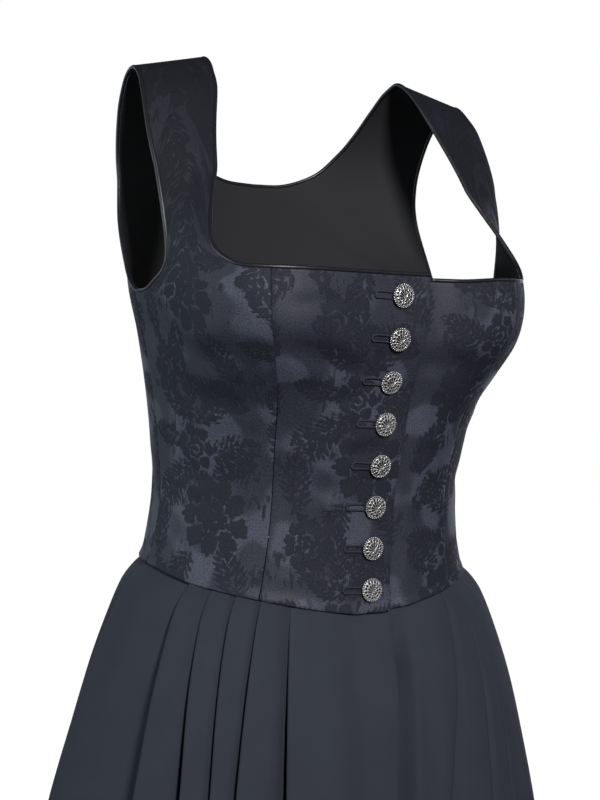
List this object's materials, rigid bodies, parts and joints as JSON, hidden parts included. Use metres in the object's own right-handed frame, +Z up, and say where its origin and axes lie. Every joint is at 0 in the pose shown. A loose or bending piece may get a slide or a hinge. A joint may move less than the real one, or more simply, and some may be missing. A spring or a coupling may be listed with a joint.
{
  "type": "dirndl",
  "caption": "Dirndl with a pleated skirt sewn to a fitted sleeveless bodice, a square neck, wide shoulder straps and a buttoned centre front, as worn.",
  "frame": {"origin": "midway between the tops of the two shoulder straps, where the wearer's shoulders carry the dress", "axes": "+Z up, -Y out of the buttoned front, +X to the wearer's left"},
  "size_m": [0.5648, 0.4614, 1.0718],
  "materials": {
    "bodice_jacquard": "woven jacquard, satin ground with a matt darker floral figure",
    "satin_piping": "near-black satin",
    "buttonhole_cord": "bound lips of the bodice's cloth",
    "button_silver": "antiqued silver",
    "skirt_twill": "matt fine twill"
  },
  "bodies": {
    "root": {"front_centre_right": "bodice_jacquard", "front_centre_left": "bodice_jacquard", "front_side_right": "bodice_jacquard", "front_side_left": "bodice_jacquard", "back": "bodice_jacquard", "neck_piping": "satin_piping", "arm_piping_left": "satin_piping", "arm_piping_right": "satin_piping", "buttonhole_1": "buttonhole_cord", "buttonhole_2": "buttonhole_cord", "buttonhole_3": "buttonhole_cord", "buttonhole_4": "buttonhole_cord", "buttonhole_5": "buttonhole_cord", "buttonhole_6": "buttonhole_cord", "buttonhole_7": "buttonhole_cord", "buttonhole_8": "buttonhole_cord", "button_1": "button_silver", "button_2": "button_silver", "button_3": "button_silver", "button_4": "button_silver", "button_5": "button_silver", "button_6": "button_silver", "button_7": "button_silver", "button_8": "button_silver", "skirt_front_right": "skirt_twill", "skirt_front_left": "skirt_twill", "skirt_back": "skirt_twill"}
  },
  "joints": []
}
